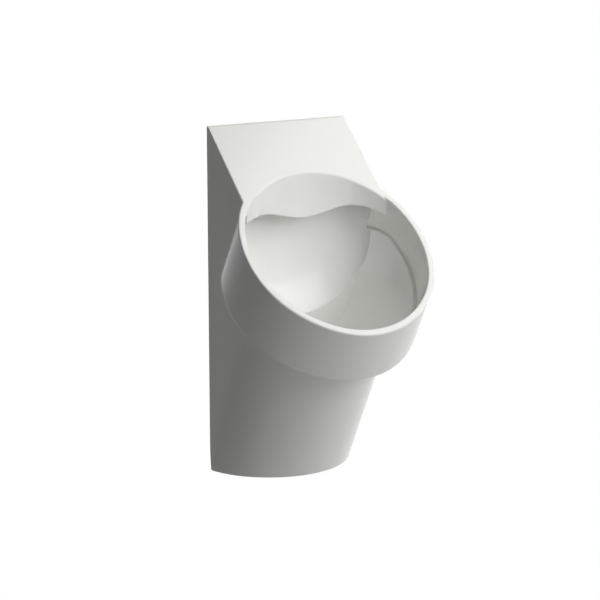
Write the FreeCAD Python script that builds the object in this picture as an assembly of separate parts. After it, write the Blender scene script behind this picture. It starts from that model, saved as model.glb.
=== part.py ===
import FreeCAD, Part
import math
import os

# Wall hung urinal: a glazed ceramic body with a round bowl hoop, hung on two wall brackets, and
# the water inlet, flush valve, trap and outlet that its hollow back hides.
# Millimetres. X to the right, Y into the wall (the wall is the plane y = 0), Z up.
# The origin is on the wall, on the centre line, level with the body's underside.

# ---- ceramic body, outside ----------------------------------------------------------------
BODY_WIDTH = 300.0          # flat sided back part and D shaped skirt
BODY_HEIGHT = 640.0
TOP_EDGE = 3.0              # depth of the body along its top edge, at the wall
FACE_ANGLE = 47.0           # the sloping front face and the rim lie in one plane, from level
SKIRT_AXIS_Y = 26.0         # centre of the skirt's round front, level with the underside
SKIRT_LEAN = 25.5           # the skirt leans out of the wall as it rises, from upright
RING_RADIUS = 194.0         # outside of the bowl hoop, on a level section
RING_AXIS_Y = 31.5          # centre of the hoop, produced down to the underside's level
RING_LEAN = 27.5
RING_WALL = 13.5            # width of the rim
RING_FOOT_Z = 456.0         # height of the hoop's lower edge plane, at the wall
RING_FOOT_ANGLE = 42.2
WALL = 12.0                 # ceramic thickness

# ---- ceramic body, inside of the bowl -----------------------------------------------------
BOWL_LEAN = 33.0            # inner wall of the hoop runs back as it goes down
LEDGE_DEPTH = 60.0          # flushing ledge, measured square to the rim's plane
LEDGE_WIDTH = 6.5
LEDGE_Z = 440.0             # the ledge is level at the back
LEDGE_BEND = 60.0           # radius of its bend between sloping and level
DISH_BACK_Y = -85.0         # the dish's upright back wall, and where it has bowed back to below
DISH_FOOT_Y = -58.0
DRAIN_Y = -114.0
DRAIN_Z = 222.0             # floor of the bowl at the drain
DRAIN_FLOOR = 46.0          # radius of that floor

NICHE_HALF_WIDTH = 144.0    # scooped recess in the back wall of the bowl
NICHE_NECK = 137.0          # half width behind the shield
NICHE_DEPTH = 47.0
NICHE_Y = -92.0
NICHE_Z = 437.0             # below this the recess closes as half an ellipsoid
NICHE_DROP = 147.0
ROOF = 14.0                 # ceramic above the recess

SHIELD_INSET = 3.8          # the wave shield stands this far inside the rim's inner edge
SHIELD_THICKNESS = 7.0
SHIELD_END_X = 150.0        # open end, where the rinse water leaves
SHIELD_CLOSED_X = -120.0    # beyond this it is level with the bowl wall,
SHIELD_LEFT_X = -152.0      # as far as this
SHIELD_HEEL_Z = 486.5       # above this the recess reaches the shield's face
# lower edge of the shield, from left to right: distance from the centre line, height
SHIELD_WAVE = [(-152.0, 482.0), (-120.0, 486.5), (-92.0, 487.5), (-48.0, 480.5), (6.0, 471.5),
               (56.0, 481.0), (100.0, 488.5), (128.0, 482.0), (152.0, 466.0)]

BOSS_Z = 505.0              # water inlet through the back wall of the recess
BOSS_RADIUS = 27.0
BOSS_FRONT_Y = -45.0
BOSS_BACK_Y = -33.0
BOSS_SPOT = 22.0            # flat face for the nozzle's gasket
INLET_HOLE = 14.0

SEAT_RADIUS = 43.5          # drain seat in the floor
SEAT_DEPTH = 4.0
DRAIN_HOLE = 33.0
COLLAR_RADIUS = 48.0
COLLAR_Z = 196.0

SERVICE_HOLE = 92.0         # opening in the underside, at the wall

LUG_X = 90.0                # hanging lugs inside the top of the body
LUG_WIDTH = 50.0
LUG_Z = 566.0
LUG_HEIGHT = 40.0
GROOVE_FRONT = -32.0
GROOVE_BACK = -23.0
LUG_BACK = -12.0
GROOVE_DEPTH = 14.0

# ---- hanging brackets ---------------------------------------------------------------------
BRACKET_WIDTH = 34.0
BRACKET_STEEL = 4.0
BRACKET_FOOT_Z = 500.0
ARM_Z = 561.0
BRACKET_HOLE = 4.5
BRACKET_HOLE_Z = 516.0
LINER = 1.5
SEAL = 1.5

# ---- trap and outlet ----------------------------------------------------------------------
FLANGE_RADIUS = 42.5
TAIL_RADIUS = 31.5
TAIL_BORE = 28.5
TAIL_FOOT_Z = 176.0
CUP_RADIUS = 38.0
CUP_FOOT_RADIUS = 31.0
CUP_WALL = 3.0
CUP_FOOT_Z = 88.0
CUP_SHOULDER_Z = 119.0
CUP_TOP_Z = 193.0
DIP_RADIUS = 25.0
DIP_WALL = 2.0
DIP_FOOT_Z = 100.0
COLLAR_OUT = 27.4
INSERT_FLANGE = 2.0
INSERT_FLANGE_RADIUS = 35.0
ORING = 1.4
ORING_OUT = 28.2            # clear of the tail's bore
ORING_Z = 206.0
STRAINER_RADIUS = 33.0
STRAINER_EDGE = 1.2
STRAINER_PLATE = 3.0
HOLE_RADIUS = 2.4
HOLE_RINGS = ((8.0, 6), (15.5, 12))
OUTLET_Z = 150.0
SPIGOT_RADIUS = 24.0
SPIGOT_END = -58.0
OUTLET_RADIUS = 25.0        # plain end, up to the wall, where the waste pipe's socket takes it
OUTLET_WALL = 2.0
OUTLET_LENGTH = 40.0        # from the stop bead to the wall
NUT_RADIUS = 32.0
SENSOR_RADIUS = 7.0

# ---- water supply and flush valve ---------------------------------------------------------
SUPPLY_X = 100.0
SUPPLY_Y = -27.0
INLET_THREAD = 10.45        # half inch pipe thread
INLET_LENGTH = 12.0
STOP_Z = 118.0
STOP_RADIUS = 13.0
STOP_LENGTH = 44.0
SPINDLE = 4.0
THREAD = 9.0
VALVE_Z = 200.0
VALVE_RADIUS = 13.0
CORE_START = 15.0           # from the riser's centre line to the core tube
CORE_LENGTH = 37.0
CORE_RADIUS = 6.0
CORE_BORE = 4.9
COIL_RADIUS = 15.0
COIL_LENGTH = 30.0
PLUNGER_RADIUS = 4.5
PLUNGER_LENGTH = 28.0
SPRING_RADIUS = 3.8
SPRING_WIRE = 1.0
PIPE_RADIUS = 6.0
PIPE_BEND = 16.0
NOZZLE_HEAD = 16.0
NOZZLE_FLANGE = 20.0
NOZZLE_TAIL = 12.0
ELBOW_Y = -13.0
BOX_Z = 148.0
BOX_SIZE = (46.0, 28.0, 84.0)
BOX_LID = 3.0
BOX_PAD = 2.0

OVAL_SIDE = 1.03            # side arcs of an oval, against its ellipse's own radius there
BIG = 900.0
SLOPE = math.tan(math.radians(FACE_ANGLE))
RING_RUN = math.tan(math.radians(RING_LEAN))
BOWL_RUN = math.tan(math.radians(BOWL_LEAN))
FOOT_SLOPE = math.tan(math.radians(RING_FOOT_ANGLE))
FACE_COS = math.cos(math.radians(FACE_ANGLE))
FACE_SIN = math.sin(math.radians(FACE_ANGLE))

X = FreeCAD.Vector(1, 0, 0)
Y = FreeCAD.Vector(0, 1, 0)
Z = FreeCAD.Vector(0, 0, 1)


def vec(x, y, z):
    return FreeCAD.Vector(x, y, z)


def face_height(y, depth=0.0):
    """Height of the sloping face at y, or of the plane that lies depth under it."""
    return BODY_HEIGHT + (y + TOP_EDGE) * SLOPE - depth * math.hypot(1.0, SLOPE)


# centre of the rim: where the hoop's leaning axis meets the sloping face
RIM_Y = (RING_AXIS_Y - RING_RUN * face_height(0.0)) / (1.0 + RING_RUN * SLOPE)
RIM_Z = face_height(RIM_Y)
# half length of the rim along the slope, for each millimetre of its half width
RIM_ASPECT = math.hypot(1.0, SLOPE) / (1.0 + RING_RUN * SLOPE)


# ---- helpers ------------------------------------------------------------------------------
def closed_wire(points):
    return Part.makePolygon(points + [points[0]])


def side_prism(outline, x0=-BIG / 2, x1=BIG / 2):
    """A side view outline of (y, z) points, drawn out along X."""
    return Part.Face(closed_wire([vec(x0, y, z) for y, z in outline])).extrude(vec(x1 - x0, 0, 0))


def front_prism(outline, y0, y1):
    """A front view outline of (x, z) points, drawn out along Y."""
    return Part.Face(closed_wire([vec(x, y0, z) for x, z in outline])).extrude(vec(0, y1 - y0, 0))


def block(x0, x1, y0, y1, z0, z1):
    return Part.makeBox(x1 - x0, y1 - y0, z1 - z0, vec(x0, y0, z0))


def rod(radius, start, direction, length):
    return Part.makeCylinder(radius, length, start, direction)


def sleeve(outer, inner, start, direction, length):
    return rod(outer, start, direction, length).cut(rod(inner, start, direction, length))


def hexagon(across_flats, start, direction, length, bore=0.0):
    """A hexagon nut or collar along the given direction, with chamfered corners."""
    radius = across_flats / math.sqrt(3.0)
    corners = [vec(radius * math.cos(math.radians(60 * i)), radius * math.sin(math.radians(60 * i)), 0)
               for i in range(6)]
    nut = Part.Face(closed_wire(corners)).extrude(vec(0, 0, length))
    cone = radius - 0.55 * (radius - across_flats / 2)
    lathe = revolve([(0, 0), (cone, 0), (radius + 0.1, radius + 0.1 - cone),
                     (radius + 0.1, length - (radius + 0.1 - cone)), (cone, length), (0, length)])
    nut = nut.common(lathe)
    if bore > 0:
        nut = nut.cut(rod(bore, vec(0, 0, 0), Z, length))
    return placed(nut, start, direction)


def placed(shape, start, direction):
    """Turn a shape that was drawn along Z to the given direction, and move it to start."""
    shape = shape.copy()
    shape.Placement = FreeCAD.Placement(start, FreeCAD.Rotation(Z, direction))
    return shape


def revolve(profile):
    """A solid of revolution about Z from (radius, height) points."""
    face = Part.Face(closed_wire([vec(r, 0, h) for r, h in profile]))
    return face.revolve(vec(0, 0, 0), Z, 360)


def bent_path(points, bend):
    """Straight runs through the points, joined by tangent arcs of one radius."""
    edges = []
    start = points[0]
    for before, corner, after in zip(points, points[1:], points[2:]):
        into = (corner - before).normalize()
        away = (after - corner).normalize()
        turn = into.getAngle(away)
        back = bend * math.tan(turn / 2)
        inward = (away - into).normalize()
        middle = corner + inward * (bend / math.cos(turn / 2) - bend)
        first, last = corner - into * back, corner + away * back
        edges.append(Part.LineSegment(start, first).toShape())
        edges.append(Part.Arc(first, middle, last).toShape())
        start = last
    edges.append(Part.LineSegment(start, points[-1]).toShape())
    return Part.Wire(edges)


def tube(points, bend, radius):
    path = bent_path(points, bend)
    direction = (points[1] - points[0]).normalize()
    profile = Part.Wire(Part.Circle(points[0], direction, radius).toShape())
    return path.makePipeShell([profile], True, False)


def oval_front(half_width, half_depth, centre, along):
    """The front half of an oval in the plane of X and the given direction, as three tangent arcs.

    They stand for the ellipse with the same half axes.
    """
    side = OVAL_SIDE * half_depth ** 2 / half_width
    side_x = half_width - side
    front = (side_x ** 2 + half_depth ** 2 - side ** 2) / (2 * (half_depth - side))
    reach = math.hypot(side_x, front - half_depth)
    join_x, join_d = side_x * front / reach, (front - half_depth) * side / reach
    half = math.atan2(join_d, join_x - side_x) / 2
    middle_x, middle_d = side_x + side * math.cos(half), side * math.sin(half)

    def at(right, forward):
        return centre + X * right - along * forward

    return [Part.Arc(at(-half_width, 0), at(-middle_x, middle_d), at(-join_x, join_d)).toShape(),
            Part.Arc(at(-join_x, join_d), at(0, half_depth), at(join_x, join_d)).toShape(),
            Part.Arc(at(join_x, join_d), at(middle_x, middle_d), at(half_width, 0)).toShape()]


def oval_face(half_width, half_depth, centre, along):
    front = oval_front(half_width, half_depth, centre, along)
    back = oval_front(half_width, half_depth, centre, -along)
    return Part.Face(Part.Wire(front + back[::-1]))


def tilted_ellipse(half_width, half_length, y, z, angle):
    """An ellipse about (0, y, z) in a plane turned up at the back by the given angle."""
    if abs(half_width - half_length) < 1e-6:
        edge = Part.Circle(vec(0, 0, 0), Z, half_width).toShape()
    else:
        edge = Part.Ellipse(vec(0, 0, 0), half_width, half_length).toShape()
    edge.rotate(vec(0, 0, 0), X, angle)
    edge.translate(vec(0, y, z))
    return Part.Wire(edge)


# ---- ceramic body -------------------------------------------------------------------------
def below_face(depth=0.0):
    return side_prism([(-BIG, face_height(-BIG, depth)), (BIG / 2, face_height(BIG / 2, depth)),
                       (BIG / 2, -BIG), (-BIG, -BIG)])


def in_front_of(y):
    return block(-BIG, BIG, -BIG, y, -BIG, BIG)


def leaning(angle):
    """The direction that leans forward from upright by the angle, and the one square to it."""
    lean = math.radians(angle)
    return vec(0, -math.sin(lean), math.cos(lean)), vec(0, math.cos(lean), math.sin(lean))


def skirt_prism(inset=0.0):
    """The D shaped section of the skirt, round in front, drawn out along its lean."""
    axis, along = leaning(SKIRT_LEAN)
    radius = BODY_WIDTH / 2 - inset
    centre = vec(0, SKIRT_AXIS_Y, 0) - axis * BIG / 2
    front = oval_front(radius, radius * math.cos(math.radians(SKIRT_LEAN)), centre, along)
    left, right = centre - X * radius, centre + X * radius
    behind = along * BIG
    wire = Part.Wire(front + [Part.makeLine(right, right + behind),
                              Part.makeLine(right + behind, left + behind),
                              Part.makeLine(left + behind, left)])
    return Part.Face(wire).extrude(axis * BIG * 2)


def hoop_prism():
    """The leaning round outside of the hoop, above the plane of its lower edge."""
    axis, along = leaning(RING_LEAN)
    half_depth = RING_RADIUS * math.cos(math.radians(RING_LEAN))
    oval = oval_face(RING_RADIUS, half_depth, vec(0, RING_AXIS_Y, 0), along)
    above_foot = side_prism([(-BIG, RING_FOOT_Z - BIG * FOOT_SLOPE), (0.0, RING_FOOT_Z),
                             (BIG / 2, RING_FOOT_Z + BIG / 2 * FOOT_SLOPE), (BIG / 2, BIG * 2),
                             (-BIG, BIG * 2)])
    return oval.extrude(axis * BIG).common(above_foot)


def outside():
    both = skirt_prism().fuse(hoop_prism()).common(below_face())
    return both.common(block(-BIG, BIG, -BIG, 0, 0, BODY_HEIGHT))


def bowl_prism(grow=0.0):
    """The space inside the hoop's wall, drawn down along its lean from above the rim."""
    axis, along = leaning(BOWL_LEAN)
    half_width = RING_RADIUS - RING_WALL + grow
    half_depth = half_width * RIM_ASPECT * math.cos(math.radians(FACE_ANGLE - BOWL_LEAN))
    top = vec(0, RIM_Y, RIM_Z) + axis * BIG / 3
    return oval_face(half_width, half_depth, top, along).extrude(-axis * BIG)


def above_ledge(lower=0.0):
    """Everything above the ledge: parallel to the rim in front, level at the back."""
    level = LEDGE_Z - lower
    corner_y = (level - face_height(0.0, LEDGE_DEPTH + lower)) / SLOPE
    back = LEDGE_BEND * math.tan(math.radians(FACE_ANGLE) / 2)
    start = vec(-BIG / 2, corner_y - back * FACE_COS, level - back * FACE_SIN)
    end = vec(-BIG / 2, corner_y + back, level)
    half = math.radians(FACE_ANGLE) / 2
    middle = end + vec(0, -LEDGE_BEND * math.sin(half), -LEDGE_BEND * (1 - math.cos(half)))
    low = vec(-BIG / 2, start.y - 400 * FACE_COS, start.z - 400 * FACE_SIN)
    wire = Part.Wire([Part.makeLine(low, start), Part.Arc(start, middle, end).toShape(),
                      Part.makeLine(end, vec(-BIG / 2, 100, level)),
                      Part.makeLine(vec(-BIG / 2, 100, level), vec(-BIG / 2, 100, BIG)),
                      Part.makeLine(vec(-BIG / 2, 100, BIG), vec(-BIG / 2, low.y, BIG)),
                      Part.makeLine(vec(-BIG / 2, low.y, BIG), low)])
    return Part.Face(wire).extrude(vec(BIG, 0, 0))


def dish(grow=0.0):
    """The bowl under the ledge: a smooth loft from the ledge down to the drain floor."""
    per_depth = 1.0 / (BOWL_RUN * FACE_SIN + FACE_COS)
    half_width = RING_RADIUS - RING_WALL - LEDGE_WIDTH + grow
    sections = []
    for depth in (LEDGE_DEPTH - 34.0, LEDGE_DEPTH):
        drop = depth * per_depth
        sections.append(tilted_ellipse(half_width, half_width * RIM_ASPECT, RIM_Y + drop * BOWL_RUN,
                                       RIM_Z - drop, FACE_ANGLE))
    sections.append(tilted_ellipse(150.0 + grow, 136.0 + grow, -146.0, 335.0, 36.0))
    sections.append(tilted_ellipse(113.0 + grow, 104.0 + grow, -126.0, 272.0, 20.0))
    sections.append(tilted_ellipse(78.0 + grow, 72.0 + grow, -117.0, 238.0 - grow / 2, 8.0))
    sections.append(tilted_ellipse(DRAIN_FLOOR + grow, DRAIN_FLOOR + grow, DRAIN_Y, DRAIN_Z - grow, 0.0))
    return Part.makeLoft(sections, True, False)


def dish_front(grow=0.0):
    """Everything in front of the dish's back wall, which stands upright and bows back below."""
    top, bow, low = 640.0, 360.0, 190.0
    y_top, y_low = DISH_BACK_Y + grow, DISH_FOOT_Y + grow
    middle_y = y_top + 0.3 * (y_low - y_top)
    x0 = -BIG / 2
    wire = Part.Wire([Part.makeLine(vec(x0, y_top, top), vec(x0, y_top, bow)),
                      Part.Arc(vec(x0, y_top, bow), vec(x0, middle_y, (bow + low) / 2 - 4),
                               vec(x0, y_low, low)).toShape(),
                      Part.makeLine(vec(x0, y_low, low), vec(x0, -BIG / 2, low)),
                      Part.makeLine(vec(x0, -BIG / 2, low), vec(x0, -BIG / 2, top)),
                      Part.makeLine(vec(x0, -BIG / 2, top), vec(x0, y_top, top))])
    return Part.Face(wire).extrude(vec(BIG, 0, 0))


def niche(grow=0.0):
    """The scooped recess in the back wall: upright and oval in plan, with a rounded bottom."""
    half_width, depth, drop = NICHE_HALF_WIDTH + grow, NICHE_DEPTH + grow, NICHE_DROP + grow
    oval = Part.Wire(Part.Ellipse(vec(0, NICHE_Y, NICHE_Z), half_width, depth).toShape())
    upright = Part.Face(oval).extrude(vec(0, 0, 220))
    ball = Part.makeSphere(1.0, vec(0, 0, 0), Z, -90, 0, 360)
    stretch = FreeCAD.Matrix()
    stretch.scale(half_width, depth, drop)
    ball = ball.transformGeometry(stretch)
    ball.translate(vec(0, NICHE_Y, NICHE_Z))
    neck = NICHE_NECK + grow
    outline = [(-half_width - 5, 200), (half_width + 5, 200), (half_width + 5, 474), (neck, 500),
               (neck, 700), (-neck, 700), (-neck, 500), (-half_width - 5, 474)]
    whole = upright.fuse(ball).common(front_prism(outline, -300, 100))
    return whole.common(below_face(ROOF - grow))


def shield_oval(inset):
    """The upright oval column whose back is the shield's front or back face."""
    half_width = RING_RADIUS - RING_WALL
    half_depth = half_width * RIM_ASPECT * FACE_COS
    wire = Part.Wire(Part.Ellipse(vec(0, RIM_Y, 300), half_width - inset, half_depth - inset).toShape())
    return Part.Face(wire).extrude(vec(0, 0, 400))


def shield_panel(inset, x0, x1):
    """Part of the hanging panel, between its wave shaped lower edge and the sloping face."""
    high = 690.0
    wave = Part.BSplineCurve()
    wave.interpolate([vec(x, -200, z) for x, z in SHIELD_WAVE])
    edge = wave.toShape()
    left, right = edge.Vertexes[0].Point, edge.Vertexes[-1].Point
    top_left, top_right = vec(left.x, -200, high), vec(right.x, -200, high)
    wire = Part.Wire([edge, Part.makeLine(right, top_right), Part.makeLine(top_right, top_left),
                      Part.makeLine(top_left, left)])
    above_wave = Part.Face(wire).extrude(vec(0, 200, 0))
    panel = shield_oval(inset - SHIELD_THICKNESS).cut(shield_oval(inset)).common(above_wave)
    return panel.common(block(x0, x1, -170, -10, 400, high))


def wave_shield():
    """The hanging shield, open on the right, and its closed end, level with the bowl wall."""
    closed_end = shield_panel(0.0, SHIELD_LEFT_X, SHIELD_CLOSED_X)
    return shield_panel(SHIELD_INSET, SHIELD_CLOSED_X, SHIELD_END_X).fuse(closed_end)


def bowl_space():
    """Everything open inside the rim: the dish, the recess behind it, and all but the shield."""
    upper = bowl_prism().common(above_ledge())
    back = block(-NICHE_HALF_WIDTH, NICHE_HALF_WIDTH, DISH_BACK_Y, 200, 0, 700)
    under_shield = shield_oval(SHIELD_INSET).common(block(-BIG, BIG, -BIG, BIG, SHIELD_HEEL_Z, BIG))
    upper = upper.cut(back.cut(under_shield))
    lower = dish().cut(above_ledge()).common(dish_front())
    return upper.fuse(lower).fuse(niche()).cut(wave_shield())


def hollow_back():
    """The space between the bowl and the wall, open at the wall and through the underside."""
    inner = skirt_prism(WALL).common(below_face(WALL))
    inner = inner.common(block(-BIG, BIG, -BIG, 50, WALL, BODY_HEIGHT))
    bowl = bowl_prism(WALL).common(above_ledge(WALL)).common(in_front_of(DISH_BACK_Y + WALL))
    bowl = bowl.fuse(dish(WALL).common(dish_front(WALL))).fuse(niche(WALL))
    collar = rod(COLLAR_RADIUS, vec(0, DRAIN_Y, COLLAR_Z), Z, 60)
    boss = rod(BOSS_RADIUS, vec(0, BOSS_BACK_Y, BOSS_Z), -Y, 40)
    inner = inner.cut(bowl).cut(collar).cut(boss)
    for side in (-1, 1):
        inner = inner.cut(hanging_lug(side))
    return inner


def hanging_lug(side):
    """A lug under the sloping face, with a groove from below for the bracket's lip."""
    x = side * LUG_X
    lug = block(x - LUG_WIDTH / 2, x + LUG_WIDTH / 2, -80, LUG_BACK, LUG_Z, LUG_Z + LUG_HEIGHT)
    groove = block(x - LUG_WIDTH / 2, x + LUG_WIDTH / 2, GROOVE_FRONT, GROOVE_BACK, LUG_Z,
                   LUG_Z + GROOVE_DEPTH)
    return lug.cut(groove)


def ceramic_body():
    body = outside().cut(bowl_space())
    body = body.cut(hollow_back())
    body = body.cut(rod(INLET_HOLE, vec(0, -70, BOSS_Z), Y, 70))
    body = body.cut(rod(BOSS_SPOT, vec(0, -70, BOSS_Z), Y, BOSS_FRONT_Y + 70))
    body = body.cut(rod(SEAT_RADIUS, vec(0, DRAIN_Y, DRAIN_Z - SEAT_DEPTH), Z, 12))
    body = body.cut(rod(DRAIN_HOLE, vec(0, DRAIN_Y, COLLAR_Z - 10), Z, 60))
    body = body.cut(rod(SERVICE_HOLE, vec(0, 0, -5), Z, WALL + 10))
    return body


# ---- hanging brackets ---------------------------------------------------------------------
def lip_span():
    middle = (GROOVE_FRONT + GROOVE_BACK) / 2
    return middle - BRACKET_STEEL / 2, middle + BRACKET_STEEL / 2


def hanging_bracket(side):
    """A steel plate for the wall, with an arm and a lip that stands up in the lug's groove."""
    x = side * LUG_X
    x0, x1 = x - BRACKET_WIDTH / 2, x + BRACKET_WIDTH / 2
    front, back = lip_span()
    top = LUG_Z + GROOVE_DEPTH - LINER
    bracket = block(x0, x1, -BRACKET_STEEL, 0, BRACKET_FOOT_Z, ARM_Z)
    bracket = bracket.fuse(block(x0, x1, front, 0, ARM_Z - BRACKET_STEEL, ARM_Z))
    bracket = bracket.fuse(block(x0, x1, front, back, ARM_Z - BRACKET_STEEL, top))
    web = side_prism([(-BRACKET_STEEL, ARM_Z - 36), (-BRACKET_STEEL, ARM_Z - BRACKET_STEEL),
                      (front + 2, ARM_Z - BRACKET_STEEL)], x - 2, x + 2)
    bracket = bracket.fuse(web).removeSplitter()
    corners = [e for e in bracket.Edges if abs(e.Length - BRACKET_STEEL) < 0.1
               and abs(e.Vertexes[0].Z - e.Vertexes[1].Z) < 0.1
               and (e.Vertexes[0].Z < BRACKET_FOOT_Z + 1 or e.Vertexes[0].Z > top - 1)]
    bracket = bracket.makeFillet(3.5, corners)
    return bracket.cut(rod(BRACKET_HOLE, vec(x, -10, BRACKET_HOLE_Z), Y, 12))


def bracket_liner(side):
    """A plastic sleeve over the bracket's lip, between the steel and the ceramic."""
    x = side * LUG_X
    x0, x1 = x - BRACKET_WIDTH / 2, x + BRACKET_WIDTH / 2
    front, back = lip_span()
    top = LUG_Z + GROOVE_DEPTH
    outer = block(x0, x1, front - LINER, back + LINER, top - 13, top)
    return outer.cut(block(x0, x1, front, back, top - 13, top - LINER))


# ---- trap and outlet ----------------------------------------------------------------------
def at_drain(shape):
    shape.translate(vec(0, DRAIN_Y, 0))
    return shape


def seat_seal():
    z = DRAIN_Z - SEAT_DEPTH
    return at_drain(sleeve(FLANGE_RADIUS, DRAIN_HOLE + 1, vec(0, 0, z), Z, SEAL))


def drain_flange():
    """A flange in the floor's seat, with a threaded tail down through the ceramic."""
    z0 = DRAIN_Z - SEAT_DEPTH + SEAL
    profile = [(TAIL_BORE, TAIL_FOOT_Z + 1), (TAIL_BORE + 1, TAIL_FOOT_Z), (TAIL_RADIUS - 1, TAIL_FOOT_Z),
               (TAIL_RADIUS, TAIL_FOOT_Z + 1), (TAIL_RADIUS, z0), (FLANGE_RADIUS, z0),
               (FLANGE_RADIUS, DRAIN_Z - 1), (FLANGE_RADIUS - 1.5, DRAIN_Z), (TAIL_BORE, DRAIN_Z)]
    return at_drain(revolve(profile))


def collar_gasket():
    return at_drain(sleeve(COLLAR_RADIUS - 3, TAIL_RADIUS, vec(0, 0, CUP_TOP_Z), Z, COLLAR_Z - CUP_TOP_Z))


def trap_cup():
    """The bottle of the trap: screwed on the tail, drawn in at its foot, with the outlet spigot."""
    floor = CUP_FOOT_Z + CUP_WALL
    outer = revolve([(0, CUP_FOOT_Z), (CUP_FOOT_RADIUS - 6, CUP_FOOT_Z), (CUP_FOOT_RADIUS, CUP_FOOT_Z + 6),
                     (CUP_RADIUS, CUP_SHOULDER_Z), (CUP_RADIUS, CUP_TOP_Z - 6),
                     (COLLAR_RADIUS - 4, CUP_TOP_Z - 5), (COLLAR_RADIUS - 3, CUP_TOP_Z - 4),
                     (COLLAR_RADIUS - 3, CUP_TOP_Z), (0, CUP_TOP_Z)])
    inner = revolve([(0, floor), (CUP_FOOT_RADIUS - 8, floor), (CUP_FOOT_RADIUS - CUP_WALL, floor + 5),
                     (CUP_RADIUS - CUP_WALL, CUP_SHOULDER_Z), (CUP_RADIUS - CUP_WALL, TAIL_FOOT_Z - 4),
                     (TAIL_RADIUS, TAIL_FOOT_Z), (TAIL_RADIUS, CUP_TOP_Z + 1), (0, CUP_TOP_Z + 1)])
    ribs = []
    for turn in range(12):
        rib = block(CUP_RADIUS - 1, CUP_RADIUS + 2.5, -1.5, 1.5, CUP_TOP_Z - 15, CUP_TOP_Z - 2)
        rib.rotate(vec(0, 0, 0), Z, 30 * turn + 15)
        ribs.append(rib)
    spigot = rod(SPIGOT_RADIUS, vec(0, CUP_RADIUS - CUP_WALL - 8, OUTLET_Z), Y,
                 SPIGOT_END - DRAIN_Y - CUP_RADIUS + CUP_WALL + 8)
    bore = rod(SPIGOT_RADIUS - CUP_WALL, vec(0, 5, OUTLET_Z), Y, SPIGOT_END - DRAIN_Y)
    cup = outer.fuse(spigot).fuse(ribs).cut(inner).cut(bore)
    sensor_seat = rod(SENSOR_RADIUS, vec(-CUP_RADIUS + 10, 0, OUTLET_Z), -X, 30)
    return at_drain(cup.cut(sensor_seat))


def trap_insert():
    """The dip tube that forms the water seal, lifted out upwards with its strainer."""
    flange_top = DRAIN_Z + INSERT_FLANGE
    groove, groove_radius = ORING_Z, ORING_OUT - 2 * ORING
    profile = [(DIP_RADIUS - DIP_WALL, DIP_FOOT_Z), (DIP_RADIUS, DIP_FOOT_Z), (DIP_RADIUS, groove - 8),
               (COLLAR_OUT, groove - 6), (COLLAR_OUT, groove - ORING), (groove_radius, groove - ORING),
               (groove_radius, groove + ORING), (COLLAR_OUT, groove + ORING), (COLLAR_OUT, DRAIN_Z),
               (INSERT_FLANGE_RADIUS, DRAIN_Z), (INSERT_FLANGE_RADIUS, flange_top),
               (DIP_RADIUS - DIP_WALL, flange_top)]
    return at_drain(revolve(profile))


def insert_oring():
    return at_drain(Part.makeTorus(ORING_OUT - ORING, ORING, vec(0, 0, ORING_Z), Z))


def drain_strainer():
    """A plate with a bevelled edge, rings of round holes and a short spigot in the dip tube."""
    z0, top = DRAIN_Z + INSERT_FLANGE, DRAIN_Z + INSERT_FLANGE + STRAINER_PLATE
    spigot = DIP_RADIUS - DIP_WALL - 0.5
    plate = revolve([(0, z0), (STRAINER_RADIUS, z0), (STRAINER_RADIUS, z0 + STRAINER_EDGE),
                     (STRAINER_RADIUS - 6, top), (0, top)])
    plate = plate.fuse(sleeve(spigot, spigot - 1.5, vec(0, 0, z0 - 5), Z, 6))
    holes = [rod(HOLE_RADIUS, vec(0, 0, z0 - 1), Z, 8)]
    for ring, count in HOLE_RINGS:
        for i in range(count):
            angle = 2 * math.pi * i / count
            holes.append(rod(HOLE_RADIUS, vec(ring * math.cos(angle), ring * math.sin(angle), z0 - 1), Z, 8))
    return at_drain(plate.cut(holes))


def trap_sensor():
    """The temperature sensor of the flush control, in the side of the trap."""
    body = rod(SENSOR_RADIUS, vec(-CUP_RADIUS + 5, 0, OUTLET_Z), -X, 18)
    head = hexagon(20.0, vec(-CUP_RADIUS - 4, 0, OUTLET_Z), -X, 7)
    cap = rod(6.0, vec(-CUP_RADIUS - 11, 0, OUTLET_Z), -X, 9)
    sensor = body.fuse(head).fuse(cap)
    far = [e for e in sensor.Edges if e.Closed and e.BoundBox.XMin < -CUP_RADIUS - 19
           and e.BoundBox.XMax < -CUP_RADIUS - 19]
    return at_drain(sensor.makeFillet(2.0, far))


def outlet_gasket():
    return sleeve(SPIGOT_RADIUS + 4, SPIGOT_RADIUS - CUP_WALL, vec(0, SPIGOT_END, OUTLET_Z), Y, 2.5)


def outlet_pipe():
    """The plain outlet pipe, with a collar that the nut draws against the gasket."""
    start = SPIGOT_END + 2.5
    pipe = rod(OUTLET_RADIUS, vec(0, start, OUTLET_Z), Y, -start)
    pipe = pipe.fuse(rod(SPIGOT_RADIUS + 4, vec(0, start, OUTLET_Z), Y, 3.0))
    pipe = pipe.fuse(rod(OUTLET_RADIUS + 1.5, vec(0, -OUTLET_LENGTH - 2, OUTLET_Z), Y, 2.0))
    return pipe.cut(rod(OUTLET_RADIUS - OUTLET_WALL, vec(0, start - 1, OUTLET_Z), Y, 2 - start))


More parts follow.
